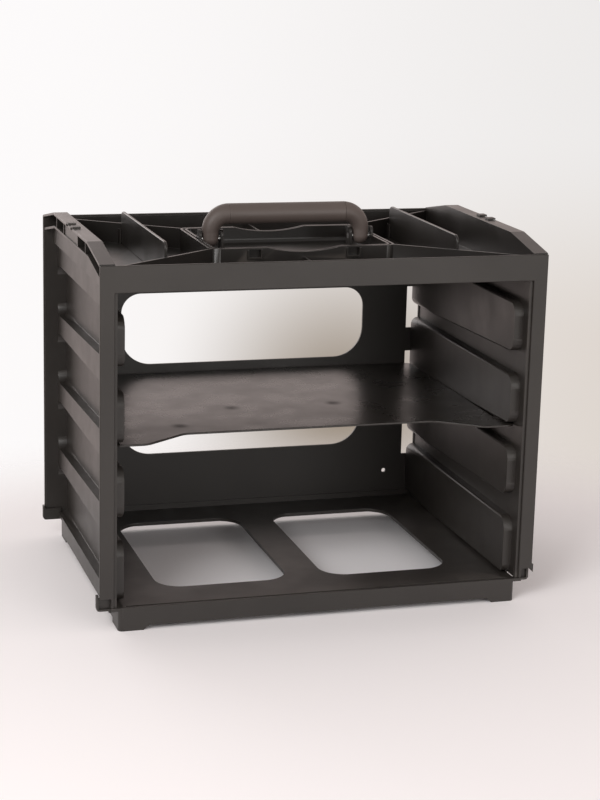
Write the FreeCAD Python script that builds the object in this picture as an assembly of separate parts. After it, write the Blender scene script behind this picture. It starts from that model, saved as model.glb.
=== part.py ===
import FreeCAD, Part
import math
import os

Vector = FreeCAD.Vector

# Body panels. X right, Y back, Z up, origin on the floor below the middle.
overall_width = 376.0
overall_depth = 265.0
panel_t = 2.5
side_t = 2.0
stile_width = 12.0
rail_height = 21.7
flange_width = 11.5
flange_inset = 1.0
panel_edge_r = 0.8

# Runner pads moulded into the side panels, and the bays behind them.
pad_count = 4
pad_height = 43.0
pad_gap = 19.5
pad_drop = 7.0
pad_reach = 8.0
pad_wall = 2.0
pad_corner_r = 12.0
pad_low_corner_r = 7.5
pad_edge_r = 1.8
pad_rear_edge_r = 7.5
pad_round_length = 60.0
bay_edge_r = 0.5
pad_front_gap = 8.0
pad_base_gap = 1.5
top_pad_clear = 20.2

# Base with feet and corner lugs.
base_height = 20.0
base_t = 3.0
base_gap = 1.0
base_corner_r = 4.0
skirt_t = 2.5
foot_drop = 4.0
foot_length = 20.7
foot_depth = 25.0
foot_slant = 22.8
lug_drop = 2.6
lug_rise = 8.0
lug_reach = 10.5
lug_depth = 4.0
lug_wall = 1.8
lug_pocket = 2.5
lug_corner_r = 3.0
lug_lip_gap = 0.2
hook_t = 3.9
hook_rise = 3.0
hook_drop = 4.2
hook_depth = 5.0
hook_root = 1.8
hook_proud = 3.2
stile_strip = 2.5
rear_lip_t = 1.2
rear_lip_rise = 5.0
side_skirt_drop = 12.0
side_skirt_gap = 17.5
side_lug_gap = 0.5
base_groove_gap = 2.0
base_groove_width = 3.0
base_groove_depth = 1.0
window_bar = 31.0
window_side_margin = 43.5
window_end_margin = 42.0
window_corner_r = 22.0

# Back panel openings.
back_window_width = 233.0
back_window_height = 66.6
back_window_bar = 19.6
back_window_top_r = 18.0
back_window_low_r = 28.0
slot_width = 12.0
slot_height = 40.0
slot_side_margin = 15.5
hole_d = 4.0
hole_spacing = 286.0
hole_rise = 25.0

# Tray with its caps.
tray_t = 2.0
tray_wall_drop = 1.7
side_top_drop = 1.1
cap_rise = 10.6
cap_t = 2.0
cap_flat_half = 78.0
cap_end_rise = 0.9
cap_width = 12.5
slot_rib_t = 1.4
slot_rib_half_near = 32.0
slot_rib_half_far = 66.0
catch_half_spacing = 10.0
catch_width = 8.0
catch_t = 2.0
catch_edge = 2.0
catch_wall_gap = 0.5
catch_head_t = 1.5
catch_head_reach = 7.0
catch_head_edge = 0.2
catch_head_lift = 0.15
catch_clearance = 0.3
centre_rib_drop = 8.4
well_corner_r = 9.0
scoop_half = 32.0
scoop_depth = 4.0
tab_centre = 43.0
tab_width = 13.5
tab_height = 8.0
tab_bar = 1.8
tab_proud = 1.2
tab_drop = 1.5

# Handle, pivots and cradle.
grip_d = 18.0
grip_length = 103.6
grip_edge = 0.6
leg_d = 14.4
leg_length = 5.7
bend_r = 15.2
spigot_d = 11.0
spigot_length = 15.0
pin_d = 5.0
pin_clearance = 0.05
pivot_drop = 0.7
ear_t = 2.5
ear_gap = 1.1
ear_r = 5.0
ear_rise = 8.0
cradle_depth = 103.6
cradle_t = 2.0
cradle_floor_t = 4.0
cradle_floor_r = 4.0
cradle_clearance = 1.5

# Loose dividers and shelf.
divider_x = 125.0
divider_t = 2.5
divider_rise = 11.5
divider_corner_r = 6.0
divider_clearance = 0.3
divider_end_gap = 3.0
divider_floor_gap = 0.1
guide_t = 1.5
guide_length = 7.0
guide_drop = 5.0
shelf_t = 1.6
shelf_clearance = 0.6
shelf_top_gap = 0.4
shelf_runner_t = 2.2
shelf_runner_gap = 0.2
shelf_runner_front = 75.0
shelf_runner_rear = 20.0
shelf_front_gap = 14.5
shelf_rear_gap = 2.5
shelf_scoop = 27.0
shelf_scoop_r = 15.0
shelf_ear_width = 27.7
shelf_ear_depth = 22.0
shelf_slant_width = 36.3
shelf_corner_r = 6.0
shelf_notch_r = 1.0
shelf_edge_r = 0.6

# Places that follow from the sizes above.
half_w = overall_width / 2
half_d = overall_depth / 2
inner_y = half_d - panel_t
web_out = half_w - flange_width - flange_inset
web_in = web_out - side_t
flange_out = half_w - flange_inset
flange_y = inner_y - side_t
pad_pitch = pad_height + pad_gap
lug_top = base_height + lug_rise
pad_bottom = lug_top
pad_face = web_in - pad_reach
pad_front = -flange_y + pad_front_gap
base_x = web_in - base_gap
rail_bottom = pad_bottom + pad_count * pad_pitch - pad_gap + top_pad_clear
body_top = rail_bottom + rail_height
lug_bottom = base_height - lug_drop
hook_out = flange_out + hook_proud
cap_top = body_top + cap_rise
cap_end = body_top + cap_end_rise
flange_top = body_top - side_top_drop
flange_end = flange_top - (cap_top - cap_end)
tray_floor = rail_bottom + tray_t
tray_wall_top = body_top - tray_wall_drop
tray_in = half_w - cap_width
tray_out = tray_in + tray_t
leg_x = grip_length / 2 + bend_r
ear_reach = leg_d / 2 + ear_gap
cradle_x = leg_x + ear_reach + ear_t
cradle_y = cradle_depth / 2 + cradle_t
well_in_x = cradle_x + cradle_clearance
well_in_y = cradle_y + cradle_clearance
well_x = well_in_x + tray_t
well_y = well_in_y + tray_t
pivot_z = tray_wall_top - pivot_drop
bend_z = pivot_z + leg_length
grip_z = bend_z + bend_r
cradle_floor = tray_floor + cradle_floor_t
shelf_front = -inner_y + shelf_front_gap
pad_over_shelf = pad_count // 2

# Two places closer than this count as one.
same_place = 1e-4


def box(x0, x1, y0, y1, z0, z1):
    return Part.makeBox(x1 - x0, y1 - y0, z1 - z0, Vector(x0, y0, z0))


def prism(points, travel):
    """Straight-sided solid from corner points."""
    return Part.Face(Part.makePolygon(points + points[:1])).extrude(travel)


def rounded_face(corners, radii, place):
    """Face with rounded corners, one radius for each; place turns (u, v) into a point."""
    flat = [Vector(u, v, 0) for u, v in corners]
    rounds = []
    for i, (corner, r) in enumerate(zip(flat, radii)):
        back = (flat[i - 1] - corner).normalize()
        ahead = (flat[(i + 1) % len(flat)] - corner).normalize()
        half = back.getAngle(ahead) / 2
        inward = (back + ahead).normalize()
        reach = r / math.tan(half)
        arc = [
            corner + back * reach,
            corner + inward * (r / math.sin(half) - r),
            corner + ahead * reach,
        ]
        rounds.append([place(p.x, p.y) for p in arc])
    edges = []
    for i, arc in enumerate(rounds):
        edges.append(Part.makeLine(rounds[i - 1][2], arc[0]))
        edges.append(Part.Arc(*arc).toShape())
    return Part.Face(Part.Wire(edges))


def oblong(u0, u1, v0, v1):
    return [(u0, v0), (u1, v0), (u1, v1), (u0, v1)]


def block_z(x, y, r, z0, z1):
    """Upright block, rounded in plan, centred on the Z axis."""
    face = rounded_face(oblong(-x, x, -y, y), [r] * 4, lambda u, v: Vector(u, v, z0))
    return face.extrude(Vector(0, 0, z1 - z0))


def rod(r, start, end):
    axis = end - start
    return Part.makeCylinder(r, axis.Length, start, axis)


def edges_at(shape, test):
    """Edges whose ends and middle all pass the test."""
    found = []
    for edge in shape.Edges:
        middle = edge.valueAt((edge.FirstParameter + edge.LastParameter) / 2)
        ends = [v.Point for v in edge.Vertexes]
        if all(test(p) for p in ends + [middle]):
            found.append(edge)
    return found


def near(a, b):
    return abs(a - b) < same_place


def mirrored(shape):
    return shape.mirror(Vector(0, 0, 0), Vector(1, 0, 0))


def both_sides(shapes):
    return shapes + [mirrored(s) for s in shapes]


def front_and_back(shapes):
    return shapes + [s.mirror(Vector(0, 0, 0), Vector(0, 1, 0)) for s in shapes]


def pad_level(i):
    return pad_bottom + i * pad_pitch


def pad_under(i, y):
    """Height of a pad's underside: just over the base, or higher up dropping towards the rear."""
    if i == 0:
        return base_height + pad_base_gap
    return pad_level(i) - pad_drop * (y - pad_front) / (inner_y - pad_front)


def pad_section(y, under, top, x_in, x_out, r):
    """Outline across a pad, with its two inner edges rounded."""
    half = r * (1 - math.sqrt(0.5))
    low = [Vector(x_in + r, y, under), Vector(x_in + half, y, under + half), Vector(x_in, y, under + r)]
    high = [Vector(x_in, y, top - r), Vector(x_in + half, y, top - half), Vector(x_in + r, y, top)]
    outer = [Vector(x_out, y, top), Vector(x_out, y, under)]
    return Part.Wire([
        Part.makeLine(outer[1], low[0]),
        Part.Arc(*low).toShape(),
        Part.makeLine(low[2], high[0]),
        Part.Arc(*high).toShape(),
        Part.makeLine(high[2], outer[0]),
        Part.makeLine(*outer),
    ])


def pad_block(i, inset, rear, x_in, x_out):
    """Pad or bay: rounded block along X, its long edges rounder near the rear."""
    front = pad_front + inset
    top = pad_level(i) + pad_height - inset
    turn = inner_y - pad_round_length
    sections = []
    for y, edge_r in ((front, pad_edge_r), (turn, pad_edge_r), (rear, pad_rear_edge_r)):
        r = max(edge_r - inset, bay_edge_r)
        sections.append(pad_section(y, pad_under(i, y) + inset, top, x_in, x_out, r))
    corners = [
        (front, pad_under(i, front) + inset),
        (rear, pad_under(i, rear) + inset),
        (rear, top),
        (front, top),
    ]
    low_r = pad_low_corner_r if i == 0 else pad_corner_r
    radii = [low_r - inset] * 2 + [pad_corner_r - inset] * 2
    face = rounded_face(corners, radii, lambda u, v: Vector(x_in, u, v))
    return Part.makeLoft(sections, True, True).common(face.extrude(Vector(x_out - x_in, 0, 0)))


def pad(i):
    """Pad that runs square into the back panel."""
    past = inner_y + pad_corner_r
    block = pad_block(i, 0, past, pad_face, web_in)
    return block.common(box(pad_face, web_in, -inner_y, inner_y, 0, body_top))


def bay(i):
    """Hollow behind a pad, open to the outside."""
    return pad_block(i, pad_wall, inner_y - pad_wall, pad_face + pad_wall, half_w)


def roof_points(x, flat_z, end_z):
    """Flat line along Y that slopes down towards both ends."""
    return [
        Vector(x, -inner_y, end_z),
        Vector(x, -cap_flat_half, flat_z),
        Vector(x, cap_flat_half, flat_z),
        Vector(x, inner_y, end_z),
    ]


def roof_sheet(x0, x1, flat_z, end_z, t):
    top = roof_points(x0, flat_z, end_z)
    under = [p - Vector(0, 0, t) for p in reversed(top)]
    return prism(top + under, Vector(x1 - x0, 0, 0))


def catch_boxes(grow, x0, x1, z0, z1):
    """One box at each catch, wider by grow at both ends."""
    reach = catch_width / 2 + grow
    return [
        box(x0, x1, y - reach, y + reach, z0, z1)
        for y in (-catch_half_spacing, catch_half_spacing)
    ]


def catches():
    """Wall between the near ribs under the cap, with two hooks over the cap's edge."""
    out = half_w - catch_edge
    half = slot_rib_half_near - slot_rib_t / 2 - catch_wall_gap
    wall_top = cap_top - cap_t - catch_wall_gap
    head_z = cap_top + catch_head_lift
    head_in = half_w - catch_head_reach
    root = flange_top - side_t
    solids = [box(out - catch_t, out, -half, half, root, wall_top)]
    solids += catch_boxes(0, out - catch_t, out, root, head_z)
    solids += catch_boxes(0, head_in, half_w - catch_head_edge, head_z, head_z + catch_head_t)
    return solids


def hook():
    """Snap hook, front, from the flange's foot over the lug's outer wall."""
    inner = hook_out - hook_t
    top = lug_top + hook_rise
    tip = lug_top - hook_drop
    outline = [
        Vector(inner - hook_root, -inner_y, top),
        Vector(hook_out, -inner_y, top),
        Vector(hook_out, -inner_y, tip),
        Vector(inner, -inner_y, tip + hook_t),
        Vector(inner, -inner_y, lug_top),
        Vector(inner - hook_root, -inner_y, lug_top),
    ]
    return prism(outline, Vector(0, hook_depth, 0))


def side_panel(hooks):
    """Right side panel, with the given hooks at its ends."""
    notch_y = inner_y - lug_depth - side_lug_gap
    skirt_y = inner_y - lug_depth - side_skirt_gap
    skirt_z = base_height - side_skirt_drop
    ledge_z = rail_bottom - side_t
    outline = [
        Vector(web_in, -inner_y, rail_bottom),
        Vector(web_in, inner_y, rail_bottom),
        Vector(web_in, inner_y, lug_top),
        Vector(web_in, notch_y, lug_top),
        Vector(web_in, notch_y, base_height),
        Vector(web_in, skirt_y, base_height),
        Vector(web_in, skirt_y, skirt_z),
        Vector(web_in, -skirt_y, skirt_z),
        Vector(web_in, -skirt_y, base_height),
        Vector(web_in, -notch_y, base_height),
        Vector(web_in, -notch_y, lug_top),
        Vector(web_in, -inner_y, lug_top),
    ]
    upper = roof_points(tray_out, flange_top, flange_end) + [
        Vector(tray_out, inner_y, ledge_z),
        Vector(tray_out, -inner_y, ledge_z),
    ]
    solids = [
        prism(upper, Vector(side_t, 0, 0)),
        box(web_in, tray_out + side_t, -inner_y, inner_y, ledge_z, rail_bottom),
        roof_sheet(tray_out, flange_out, flange_top, flange_end, side_t),
    ]
    solids += front_and_back([
        box(web_in, flange_out, flange_y, inner_y, lug_top, rail_bottom),
        box(tray_out, flange_out, flange_y, inner_y, rail_bottom, flange_end),
    ] + hooks)
    solids += catches() + [pad(i) for i in range(pad_count)]
    bays = [bay(i) for i in range(pad_count)]
    web = prism(outline, Vector(side_t, 0, 0))
    return web.fuse(solids).cut(bays).removeSplitter()


def front_frame():
    inner = half_w - stile_width
    strip = inner + stile_strip
    half = [
        Vector(inner, -half_d, rail_bottom),
        Vector(inner, -half_d, base_height),
        Vector(strip, -half_d, base_height),
        Vector(strip, -half_d, lug_top),
        Vector(half_w, -half_d, lug_top),
        Vector(half_w, -half_d, body_top),
    ]
    other = [Vector(-p.x, p.y, p.z) for p in reversed(half)]
    frame = prism(half + other, Vector(0, panel_t, 0))
    return frame.makeFillet(panel_edge_r, edges_at(frame, lambda p: near(p.y, -half_d)))


def back_window(z0, z1):
    """Wide opening, rounder at its lower corners."""
    half = back_window_width / 2
    radii = [back_window_low_r] * 2 + [back_window_top_r] * 2
    face = rounded_face(oblong(-half, half, z0, z1), radii, lambda u, v: Vector(u, inner_y, v))
    return face.extrude(Vector(0, panel_t, 0))


def back_panel():
    panel = box(-half_w, half_w, inner_y, half_d, base_height, body_top)
    middle = body_top / 2
    low = back_window_bar / 2
    high = low + back_window_height
    cuts = [back_window(middle + low, middle + high), back_window(middle - high, middle - low)]
    slot_out = half_w - slot_side_margin
    sides = []
    for i in range(1, pad_count):
        groove = pad_level(i) - pad_gap / 2
        z0 = groove - slot_height / 2
        sides.append(box(slot_out - slot_width, slot_out, inner_y, half_d, z0, z0 + slot_height))
    start = Vector(hole_spacing / 2, inner_y, base_height + hole_rise)
    sides.append(rod(hole_d / 2, start, start + Vector(0, panel_t, 0)))
    return panel.cut(cuts + both_sides(sides))


def foot():
    """Corner foot, front right, with a slanted inner end."""
    inner = base_x - foot_length
    side = [
        Vector(base_x, -half_d, 0),
        Vector(base_x, -half_d, base_height),
        Vector(inner - foot_slant, -half_d, base_height),
        Vector(inner, -half_d, 0),
    ]
    block = prism(side, Vector(0, foot_depth, 0))
    return block.common(block_z(base_x, half_d, base_corner_r, 0, base_height))


def lug(reach, wall):
    """Corner lug, front right: a socket open to the front."""
    rear = -inner_y + lug_depth
    block = box(web_in, reach, -inner_y, rear, lug_bottom, lug_top)
    corner = edges_at(block, lambda p: near(p.x, reach) and near(p.z, lug_bottom))
    block = block.makeFillet(lug_corner_r, corner)
    strip = half_w - stile_width + stile_strip
    floor = lug_bottom + lug_wall
    pocket = box(strip, reach - wall, -inner_y, -inner_y + lug_pocket, floor, lug_top)
    root = box(base_x - skirt_t, web_in, -inner_y, rear, lug_bottom, base_height)
    ledge = box(base_x - skirt_t, strip, -half_d, -inner_y, lug_bottom, base_height)
    return block.cut(pocket).fuse([root, ledge])


def lipped_lug():
    """Wider lug whose outer wall turns up beside the flange instead of taking a hook."""
    inner = half_w + lug_lip_gap
    rear = -inner_y + lug_depth
    lip = box(inner, hook_out, -inner_y, rear, lug_top, lug_top + hook_rise)
    return lug(hook_out, hook_out - inner).fuse(lip)


def base_panel():
    plate = block_z(base_x, half_d, base_corner_r, base_height - base_t, base_height)
    ring = block_z(base_x, half_d, base_corner_r, foot_drop, base_height)
    hollow = box(
        -base_x + skirt_t, base_x - skirt_t, -half_d + skirt_t, half_d - skirt_t,
        foot_drop, base_height)
    lip_x = pad_face - base_gap
    lip = box(-lip_x, lip_x, inner_y - rear_lip_t, inner_y, base_height, base_height + rear_lip_rise)
    groove_y = -half_d + base_groove_gap
    groove = box(
        -pad_face, pad_face, groove_y, groove_y + base_groove_width,
        base_height - base_groove_depth, base_height)
    corners = both_sides(front_and_back([foot()]))
    corners += front_and_back([lug(web_out + lug_reach, lug_wall), mirrored(lipped_lug())])
    window = rounded_face(
        oblong(
            window_bar / 2, base_x - window_side_margin,
            -half_d + window_end_margin, half_d - window_end_margin),
        [window_corner_r] * 4, lambda u, v: Vector(u, v, base_height - base_t))
    windows = both_sides([window.extrude(Vector(0, 0, base_t))])
    return plate.fuse([ring.cut(hollow), lip] + corners).cut(windows + [groove]).removeSplitter()


def diagonal_start():
    return Vector(well_x - well_corner_r, well_y - well_corner_r, 0)


def diagonal_end():
    return Vector(tray_in, inner_y - tray_t, 0)


def diagonal_y(x):
    """Y of a diagonal wall's centre line at x."""
    a = diagonal_start()
    b = diagonal_end()
    return a.y + (b.y - a.y) * (x - a.x) / (b.x - a.x)


def diagonal_wall():
    """Wall from the well's rear right corner to the tray's."""
    a = diagonal_start()
    b = diagonal_end()
    side = Vector(a.y - b.y, b.x - a.x, 0).normalize() * tray_t / 2
    corners = [p + Vector(0, 0, tray_floor) for p in (a + side, b + side, b - side, a - side)]
    return prism(corners, Vector(0, 0, tray_wall_top - tray_floor))


def scoop(z):
    """Round bar along Y that dips the well's front and rear walls."""
    r = (scoop_half ** 2 + scoop_depth ** 2) / (2 * scoop_depth)
    middle = Vector(0, 0, z - scoop_depth + r)
    reach = Vector(0, half_d, 0)
    return rod(r, middle - reach, middle + reach)


def tab_span():
    """Ends of a snap tab along X, its bottom and its top."""
    top = tray_wall_top - tab_drop
    return tab_centre - tab_width / 2, tab_centre + tab_width / 2, top - tab_height, top


def tab_bars():
    """Raised U around a snap window, right, on the well's rear wall."""
    x0, x1, z0, top = tab_span()
    y1 = well_y + tab_proud
    return [
        box(x0, x0 + tab_bar, well_y, y1, z0, top),
        box(x1 - tab_bar, x1, well_y, y1, z0, top),
        box(x0, x1, well_y, y1, z0, z0 + tab_bar),
    ]


def tab_window():
    x0, x1, z0, top = tab_span()
    return box(x0 + tab_bar, x1 - tab_bar, well_in_y, well_y, z0 + tab_bar, top)


def tray_side():
    """Right wall, its cap and the ribs under the cap."""
    wall = box(tray_in, tray_out, -inner_y, inner_y, rail_bottom, cap_top)
    solids = [roof_sheet(tray_in, half_w, cap_top, cap_end, cap_t)]
    for y in (-slot_rib_half_far, -slot_rib_half_near, slot_rib_half_near, slot_rib_half_far):
        y0 = y - slot_rib_t / 2
        solids.append(box(tray_out, flange_out, y0, y0 + slot_rib_t, flange_top, cap_top - cap_t))
    sky = roof_sheet(tray_in, half_w, cap_top + cap_rise, cap_end + cap_rise, cap_rise)
    notch_in = half_w - catch_edge - catch_t - catch_clearance
    notches = catch_boxes(catch_clearance, notch_in, half_w, flange_top, cap_top)
    return wall.fuse(solids).cut([sky] + notches)


def divider_guides():
    """Upright ribs on the diagonal walls that hold the right divider's ends."""
    guides = []
    near_x = divider_t / 2 + divider_clearance
    for x0 in (divider_x - near_x - guide_t, divider_x + near_x):
        wall_y = diagonal_y(x0 + guide_t / 2)
        for y0 in (-wall_y, wall_y - guide_length):
            guides.append(box(
                x0, x0 + guide_t, y0, y0 + guide_length,
                tray_floor, tray_wall_top - guide_drop))
    return guides


def top_tray():
    floor = box(-tray_out, tray_out, -inner_y, inner_y, rail_bottom, tray_floor)
    wall_y = inner_y - tray_t
    rib_top = tray_wall_top - centre_rib_drop
    walls = both_sides([tray_side()] + divider_guides())
    walls += both_sides(front_and_back([diagonal_wall()] + tab_bars()))
    walls += front_and_back([
        box(-tray_in, tray_in, wall_y, inner_y, tray_floor, tray_wall_top),
        box(-tray_t / 2, tray_t / 2, well_in_y, wall_y, tray_floor, rib_top),
    ])
    walls.append(block_z(well_x, well_y, well_corner_r, tray_floor, tray_wall_top))
    well = block_z(well_in_x, well_in_y, well_corner_r - tray_t, tray_floor, tray_wall_top)
    windows = both_sides(front_and_back([tab_window()]))
    return floor.fuse(walls).cut([well, scoop(tray_wall_top)] + windows).removeSplitter()


def ear(x0):
    """Upright ear from the cradle floor to above the pivot, with a round top."""
    middle = Vector(x0, 0, pivot_z + ear_rise - ear_r)
    post = box(x0, x0 + ear_t, -ear_r, ear_r, tray_floor, middle.z)
    return [post, rod(ear_r, middle, middle + Vector(ear_t, 0, 0))]


def pin_rod(r):
    start = Vector(leg_x - ear_reach - ear_t, 0, pivot_z)
    return rod(r, start, Vector(cradle_x, 0, pivot_z))


def handle_cradle():
    shell = block_z(cradle_x, cradle_y, well_corner_r - tray_t, tray_floor, tray_wall_top)
    hollow = block_z(
        cradle_x - cradle_t, cradle_y - cradle_t,
        well_corner_r - tray_t - cradle_t, cradle_floor, tray_wall_top + cradle_floor_r)
    hollow = hollow.makeFillet(cradle_floor_r, edges_at(hollow, lambda p: near(p.z, cradle_floor)))
    ears = ear(leg_x + ear_reach) + ear(leg_x - ear_reach - ear_t)
    holes = both_sides([pin_rod(pin_d / 2)])
    cup = shell.cut([hollow, scoop(tray_wall_top)])
    return cup.fuse(both_sides(ears)).cut(holes).removeSplitter()


def handle_arm():
    """Right arm: ball end on the pivot, leg, bend and spigot."""
    leg_r = leg_d / 2
    steps = 6
    rings = []
    for i in range(steps + 1):
        turn = i / steps
        angle = turn * math.pi / 2
        out = Vector(math.cos(angle), 0, math.sin(angle))
        middle = Vector(grip_length / 2, 0, bend_z) + out * bend_r
        along = Vector(-out.z, 0, out.x)
        radius = leg_r + (grip_d / 2 - leg_r) * turn
        rings.append(Part.Wire(Part.makeCircle(radius, middle, along)))
    bend = Part.makeLoft(rings, True, False)
    foot_end = Vector(leg_x, 0, pivot_z)
    spigot_end = Vector(grip_length / 2, 0, grip_z)
    solids = [
        rod(leg_r, foot_end, Vector(leg_x, 0, bend_z)),
        bend,
        rod(spigot_d / 2, spigot_end, spigot_end - Vector(spigot_length, 0, 0)),
    ]
    ball = Part.makeSphere(leg_r, foot_end)
    return ball.fuse(solids).cut(pin_rod(pin_d / 2 + pin_clearance)).removeSplitter()


def handle_grip():
    start = Vector(-grip_length / 2, 0, grip_z)
    end = Vector(grip_length / 2, 0, grip_z)
    tube = rod(grip_d / 2, start, end)
    tube = tube.makeFillet(grip_edge, edges_at(tube, lambda p: near(abs(p.x), grip_length / 2)))
    return tube.cut(rod(spigot_d / 2, start, end))


def divider():
    """Right divider plate, standing across the tray."""
    y = diagonal_y(divider_x) - divider_end_gap
    z0 = tray_floor + divider_floor_gap
    plate = box(
        divider_x - divider_t / 2, divider_x + divider_t / 2,
        -y, y, z0, tray_wall_top + divider_rise)
    top = tray_wall_top + divider_rise
    corners = edges_at(plate, lambda p: near(p.z, top) and near(abs(p.y), y))
    return plate.makeFillet(divider_corner_r, corners)


def shelf_plate():
    x = pad_face - shelf_clearance
    wide = web_in - shelf_clearance
    rear = inner_y - shelf_rear_gap
    ear_rear = shelf_front + shelf_ear_depth
    top = pad_under(pad_over_shelf, ear_rear) - shelf_top_gap
    z0 = top - shelf_t
    ear_x = wide - shelf_ear_width
    right = [
        (ear_x - shelf_slant_width, shelf_front + shelf_scoop), (ear_x, shelf_front),
        (wide, shelf_front), (wide, ear_rear), (x, ear_rear), (x, rear),
    ]
    left = [(-u, v) for u, v in reversed(right)]
    radii = [shelf_scoop_r] * 2 + [shelf_corner_r] + [shelf_notch_r] * 2 + [shelf_corner_r]
    face = rounded_face(right + left, radii + radii[::-1], lambda u, v: Vector(u, v, z0))
    plate = face.extrude(Vector(0, 0, shelf_t))
    plate = plate.makeFillet(shelf_edge_r, edges_at(plate, lambda p: near(p.z, top)))
    runner_z = pad_level(pad_over_shelf) - pad_gap + shelf_runner_gap
    y0 = -inner_y + shelf_runner_front
    y1 = inner_y - shelf_runner_rear
    runner = [
        box(x - shelf_runner_t, x, y0, y1, runner_z, z0),
        box(x - shelf_runner_t, wide, y0, y1, runner_z, runner_z + shelf_runner_t),
    ]
    return plate.fuse(both_sides(runner)).removeSplitter()


def main():
    right_arm = handle_arm()
    right_pin = pin_rod(pin_d / 2)
    right_divider = divider()
    nodes = {
        "base_panel": base_panel(),
        "left_side_panel": mirrored(side_panel([])),
        "right_side_panel": side_panel([hook()]),
        "front_frame": front_frame(),
        "back_panel": back_panel(),
        "top_tray": top_tray(),
        "handle_cradle": handle_cradle(),
        "left_handle_arm": mirrored(right_arm),
        "right_handle_arm": right_arm,
        "handle_grip": handle_grip(),
        "left_pivot_pin": mirrored(right_pin),
        "right_pivot_pin": right_pin,
        "left_divider": mirrored(right_divider),
        "right_divider": right_divider,
        "shelf_plate": shelf_plate(),
    }
    os.makedirs("parts", exist_ok=True)
    for name, shape in nodes.items():
        shape.exportStep(os.path.join("parts", name + ".step"))


main()
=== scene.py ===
"""Looks of the tool storage caddy: finishes, soft edges, floor, light and camera."""
import math

import bpy
from mathutils import Euler, Matrix, Vector

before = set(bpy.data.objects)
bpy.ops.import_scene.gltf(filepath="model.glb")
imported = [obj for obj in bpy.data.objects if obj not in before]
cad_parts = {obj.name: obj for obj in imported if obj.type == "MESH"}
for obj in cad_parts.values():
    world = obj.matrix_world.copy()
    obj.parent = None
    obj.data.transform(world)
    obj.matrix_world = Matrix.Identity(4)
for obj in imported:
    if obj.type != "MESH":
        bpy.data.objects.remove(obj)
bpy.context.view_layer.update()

# Camera, fitted to the straight edges in the picture, which is 600 by 800 pixels.
camera_place = Vector((-0.4829, -1.6341, 0.5723))
camera_yaw = 17.0
camera_pitch = 13.8
camera_roll = 1.47
focal_pixels = 1999
picture_height = 800
sensor_size = 36.0

# Finishes: colours are linear, lengths in metres, scales in turns per metre.
body_dark = (0.0190, 0.0165, 0.0145, 1)
body_light = (0.0250, 0.0220, 0.0193, 1)
body_worn = (0.052, 0.046, 0.041, 1)
tray_dark = (0.0125, 0.0110, 0.0098, 1)
tray_light = (0.0165, 0.0147, 0.0131, 1)
handle_dark = (0.078, 0.062, 0.055, 1)
handle_light = (0.096, 0.077, 0.069, 1)
handle_worn = (0.15, 0.125, 0.113, 1)
steel_dark = (0.30, 0.30, 0.30, 1)
steel_light = (0.48, 0.48, 0.47, 1)
body_roughness = (0.37, 0.46)
tray_roughness = (0.28, 0.36)
shelf_roughness = (0.25, 0.33)
handle_roughness = (0.42, 0.54)
steel_roughness = (0.25, 0.45)
plastic_ior = 1.5
cloud_scale = 9.0
cloud_detail = 4.0
cloud_span = (0.3, 0.7)
smudge_scale = 34.0
smudge_detail = 6.0
smudge_span = (0.25, 0.75)
grain_scale = 1900.0
grain_detail = 2.0
grain_depth = 0.00004
grain_strength = 0.35
rubbed_corner = (0.58, 0.68)
rubbed_patch = (0.3, 0.6)
steel_stretch = (0.05, 1, 1)
steel_detail = 3.0
steel_span = (0.3, 0.7)
edge_width = 0.0006
edge_segments = 2
edge_angle = 32
weld_distance = 0.000004
flat_angle = 0.3

# Faint round marks on the shelf's top.
shelf_marks = [(-0.107, -0.065), (-0.049, -0.013), (0.043, -0.013)]
mark_radius = 0.010
mark_roughness = 0.18

# Floor and background; spans are parts of a unit direction: up, across to the right, or ahead.
floor_reach = 3.0
floor_roughness = 0.9
floor_specular = 0.1
# The fade is centred in front of the box, so that behind it the background's painted shadow shows
# instead of the floor.
floor_fade_middle = (0, -0.25, 0)
floor_fade_start = 0.45
floor_fade_end = 0.75
floor_colour = (0.95, 0.945, 0.96, 1)
white = (0.98, 0.96, 0.96, 1)
pale_grey = (0.84, 0.82, 0.81, 1)
beige = (0.72, 0.66, 0.61, 1)
# Painted shadow of the box: a darker patch of the background behind it, seen through the back windows.
shade = (0.33, 0.275, 0.22, 1)
front_grey = (0.62, 0.565, 0.515, 1)
warm_white = (1.0, 0.87, 0.83, 1)
ceiling_grey = (0.45, 0.44, 0.43, 1)
beige_up = (-0.21, -0.10)
far_across = (-0.16, 0.20)
behind_depth = (-0.2, 0.6)
ceiling_up = (0.35, 0.95)
soft_up = (0.1, 1.0)
# Place and size of the painted shadow, as a direction.
shade_across = 0.022
shade_up = -0.24
shade_radius = 0.10
soft_colour = (1.0, 0.89, 0.85, 1)
soft_level = 0.80
soft_zenith = 0.58

# Lamps: name, place, side in metres and power in watts; all face one point in the box.
lamp_colour = (1.0, 0.985, 0.98)
lamp_target = Vector((0, 0, 0.16))
lamps = [
    ("key", Vector((-1.55, -1.6, 1.35)), 1.1, 29),
    ("front", Vector((0.6, -2.2, 0.62)), 1.2, 11),
    ("back", Vector((-0.55, 1.7, 0.75)), 1.3, 9),
]


def add(tree, kind, inputs=(), **settings):
    """New shader node; an input is a value or another node's output."""
    node = tree.nodes.new("ShaderNode" + kind)
    for name, value in settings.items():
        setattr(node, name, value)
    for name, value in dict(inputs).items():
        if isinstance(value, bpy.types.NodeSocket):
            tree.links.new(value, node.inputs[name])
        else:
            node.inputs[name].default_value = value
    return node


def ramp(tree, value, span, result=(0.0, 1.0)):
    """Smooth step of a value from one span to another."""
    low, high = span
    first, last = result
    inputs = {"Value": value, "From Min": low, "From Max": high, "To Min": first, "To Max": last}
    return add(tree, "MapRange", inputs, interpolation_type="SMOOTHSTEP").outputs["Result"]


def math_node(tree, operation, a, b):
    node = add(tree, "Math", operation=operation)
    for socket, value in zip(node.inputs, (a, b)):
        if isinstance(value, bpy.types.NodeSocket):
            tree.links.new(value, socket)
        else:
            socket.default_value = value
    return node.outputs["Value"]


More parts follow.
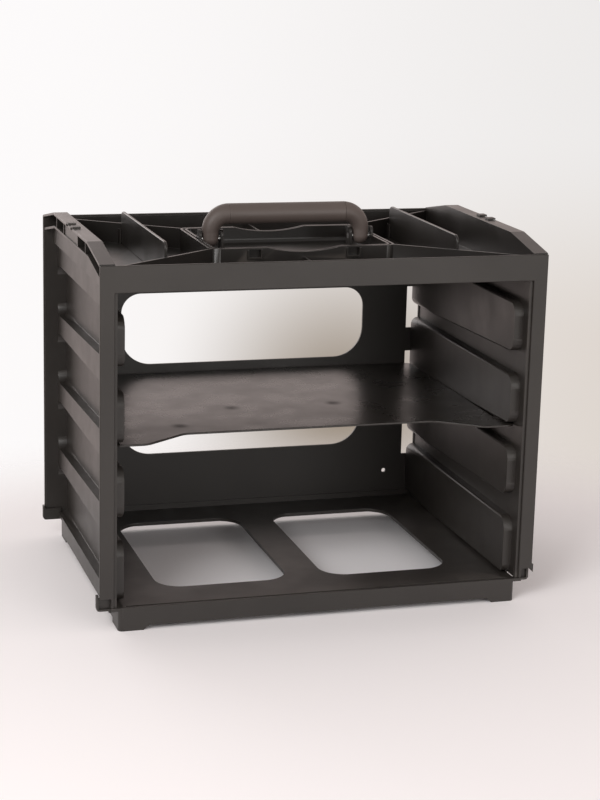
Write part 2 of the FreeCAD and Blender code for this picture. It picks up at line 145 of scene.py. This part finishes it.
def noise(tree, place, scale, detail):
    inputs = {"Vector": place, "Scale": scale, "Detail": detail}
    return add(tree, "TexNoise", inputs).outputs["Fac"]


def mix(tree, share, a, b):
    """Colour between a and b."""
    node = add(tree, "Mix", data_type="RGBA")
    factor, first, second = node.inputs["Factor"], node.inputs[6], node.inputs[7]
    for socket, value in ((factor, share), (first, a), (second, b)):
        if isinstance(value, bpy.types.NodeSocket):
            tree.links.new(value, socket)
        else:
            socket.default_value = value
    return node.outputs[2]


def new_material(name):
    material = bpy.data.materials.new(name)
    material.use_nodes = True
    tree = material.node_tree
    return material, tree, tree.nodes["Principled BSDF"]


def moulded(name, dark, light, worn, gloss, marks=()):
    """Moulded plastic: cloudy tone, fine grain, handling smudges and rubbed corners."""
    material, tree, shader = new_material(name)
    place = add(tree, "TexCoord").outputs["Object"]
    cloud = noise(tree, place, cloud_scale, cloud_detail)
    smudge = noise(tree, place, smudge_scale, smudge_detail)
    corner = ramp(tree, add(tree, "NewGeometry").outputs["Pointiness"], rubbed_corner)
    rubbed = math_node(tree, "MULTIPLY", corner, ramp(tree, smudge, rubbed_patch))
    tone = mix(tree, ramp(tree, cloud, cloud_span), dark, light)
    tree.links.new(mix(tree, rubbed, tone, worn), shader.inputs["Base Color"])
    roughness = ramp(tree, smudge, smudge_span, gloss)
    for x, y in marks:
        flat = add(tree, "VectorMath", {0: place, 1: (1, 1, 0)}, operation="MULTIPLY").outputs["Vector"]
        away = add(tree, "VectorMath", {0: flat, 1: (x, y, 0)}, operation="DISTANCE").outputs["Value"]
        spot = ramp(tree, away, (mark_radius, 0), (0, mark_roughness))
        roughness = math_node(tree, "ADD", roughness, spot)
    tree.links.new(roughness, shader.inputs["Roughness"])
    shader.inputs["IOR"].default_value = plastic_ior
    grain = noise(tree, place, grain_scale, grain_detail)
    bump = add(tree, "Bump", {"Height": grain, "Strength": grain_strength, "Distance": grain_depth})
    tree.links.new(bump.outputs["Normal"], shader.inputs["Normal"])
    return material


def drawn_steel(name):
    """Plain wire, with fine lines along X."""
    material, tree, shader = new_material(name)
    place = add(tree, "TexCoord").outputs["Object"]
    stretch = {0: place, 1: steel_stretch}
    stretched = add(tree, "VectorMath", stretch, operation="MULTIPLY").outputs["Vector"]
    lines = noise(tree, stretched, grain_scale, steel_detail)
    tree.links.new(mix(tree, lines, steel_dark, steel_light), shader.inputs["Base Color"])
    tree.links.new(ramp(tree, lines, steel_span, steel_roughness), shader.inputs["Roughness"])
    shader.inputs["Metallic"].default_value = 1.0
    return material


def dress(names, material):
    for name in names:
        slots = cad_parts[name].data.materials
        slots.clear()
        slots.append(material)


def soften_edges(name):
    """Rounds a solid's sharp edges a little, as a mould does."""
    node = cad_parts[name]
    weld = node.modifiers.new("weld", "WELD")
    weld.merge_threshold = weld_distance
    flats = node.modifiers.new("flats", "DECIMATE")
    flats.decimate_type = "DISSOLVE"
    flats.angle_limit = math.radians(flat_angle)
    bevel = node.modifiers.new("edges", "BEVEL")
    bevel.width = edge_width
    bevel.segments = edge_segments
    bevel.limit_method = "ANGLE"
    bevel.angle_limit = math.radians(edge_angle)
    bevel.harden_normals = True
    bevel.use_clamp_overlap = True


def floor():
    """Pale floor that fades into the background further out."""
    r = floor_reach
    mesh = bpy.data.meshes.new("floor")
    mesh.from_pydata([(-r, -r, 0), (r, -r, 0), (r, r, 0), (-r, r, 0)], [], [(0, 1, 2, 3)])
    material, tree, shader = new_material("pale_floor")
    place = add(tree, "TexCoord").outputs["Object"]
    spread = {0: place, 1: floor_fade_middle}
    away = add(tree, "VectorMath", spread, operation="DISTANCE").outputs["Value"]
    fade = ramp(tree, away, (floor_fade_end, floor_fade_start))
    tree.links.new(fade, shader.inputs["Alpha"])
    shader.inputs["Base Color"].default_value = floor_colour
    shader.inputs["Roughness"].default_value = floor_roughness
    shader.inputs["Specular IOR Level"].default_value = floor_specular
    mesh.materials.append(material)
    plane = bpy.data.objects.new("floor", mesh)
    bpy.context.scene.collection.objects.link(plane)


def background():
    """White to the left, greyer to the right and in front of the box, with a painted shadow of the box
    behind it.

    Reflections see it warmer than the camera does, and darker in front.
    """
    world = bpy.data.worlds.new("studio")
    bpy.context.scene.world = world
    world.use_nodes = True
    tree = world.node_tree
    tree.nodes.clear()
    way = add(tree, "TexCoord").outputs["Generated"]
    yaw = math.radians(camera_yaw)
    right = (math.cos(yaw), -math.sin(yaw), 0)
    ahead = (math.sin(yaw), math.cos(yaw), 0)
    across = add(tree, "VectorMath", {0: way, 1: right}, operation="DOT_PRODUCT").outputs["Value"]
    depth = add(tree, "VectorMath", {0: way, 1: ahead}, operation="DOT_PRODUCT").outputs["Value"]
    up = add(tree, "SeparateXYZ", {"Vector": way}).outputs["Z"]
    spot = add(tree, "CombineXYZ", {"X": across, "Y": up}).outputs["Vector"]
    middle = (shade_across, shade_up, 0)
    away = add(tree, "VectorMath", {0: spot, 1: middle}, operation="DISTANCE").outputs["Value"]
    far_side = mix(tree, ramp(tree, up, beige_up), beige, pale_grey)
    behind = mix(tree, ramp(tree, across, far_across), white, far_side)
    # painted shadow of the box on the background behind it
    behind = mix(tree, ramp(tree, away, (shade_radius, 0)), behind, shade)
    path = add(tree, "LightPath")
    shown = path.outputs["Is Camera Ray"]
    tint = mix(tree, shown, warm_white, (1, 1, 1, 1))
    behind = add(tree, "VectorMath", {0: behind, 1: tint}, operation="MULTIPLY").outputs["Vector"]
    before = mix(tree, shown, front_grey, pale_grey)
    level = mix(tree, ramp(tree, depth, behind_depth), before, behind)
    seen = mix(tree, ramp(tree, up, ceiling_up), level, ceiling_grey)
    for kind in ("Is Glossy Ray", "Is Transmission Ray"):
        shown = math_node(tree, "MAXIMUM", shown, path.outputs[kind])
    strength = ramp(tree, up, soft_up, (soft_level, soft_zenith))
    soft = add(tree, "Background", {"Color": soft_colour, "Strength": strength})
    plain = add(tree, "Background", {"Color": seen, "Strength": 1.0})
    both = add(tree, "MixShader", {0: shown, 1: soft.outputs[0], 2: plain.outputs[0]})
    out = add(tree, "OutputWorld")
    tree.links.new(both.outputs[0], out.inputs["Surface"])


def lamp(name, place, size, power):
    """Soft square lamp that faces the box."""
    light = bpy.data.lights.new(name, "AREA")
    light.shape = "SQUARE"
    light.size = size
    light.energy = power
    light.color = lamp_colour
    item = bpy.data.objects.new(name, light)
    item.location = place
    item.visible_camera = False
    item.rotation_euler = (lamp_target - place).to_track_quat("-Z", "Y").to_euler()
    bpy.context.scene.collection.objects.link(item)


def camera():
    data = bpy.data.cameras.new("camera")
    data.sensor_width = sensor_size
    data.lens = sensor_size * focal_pixels / picture_height
    item = bpy.data.objects.new("camera", data)
    level = Euler((math.radians(90 - camera_pitch), 0, -math.radians(camera_yaw)))
    turn = level.to_matrix() @ Matrix.Rotation(math.radians(camera_roll), 3, "Z")
    item.matrix_world = Matrix.Translation(camera_place) @ turn.to_4x4()
    bpy.context.scene.collection.objects.link(item)
    bpy.context.scene.camera = item


def finishes():
    body = ["base_panel", "left_side_panel", "right_side_panel", "front_frame", "back_panel"]
    dress(body, moulded("body_plastic", body_dark, body_light, body_worn, body_roughness))
    top = ["top_tray", "handle_cradle", "left_divider", "right_divider"]
    dress(top, moulded("tray_plastic", tray_dark, tray_light, body_worn, tray_roughness))
    shelf = moulded("shelf_plastic", body_dark, body_light, body_worn, shelf_roughness, shelf_marks)
    dress(["shelf_plate"], shelf)
    handle = ["left_handle_arm", "right_handle_arm", "handle_grip"]
    dress(handle, moulded("handle_plastic", handle_dark, handle_light, handle_worn, handle_roughness))
    dress(["left_pivot_pin", "right_pivot_pin"], drawn_steel("pin_steel"))
    for name in body + top:
        soften_edges(name)


def main():
    bpy.context.scene.view_settings.view_transform = "Standard"
    finishes()
    floor()
    background()
    for name, place, size, power in lamps:
        lamp(name, place, size, power)
    camera()


main()
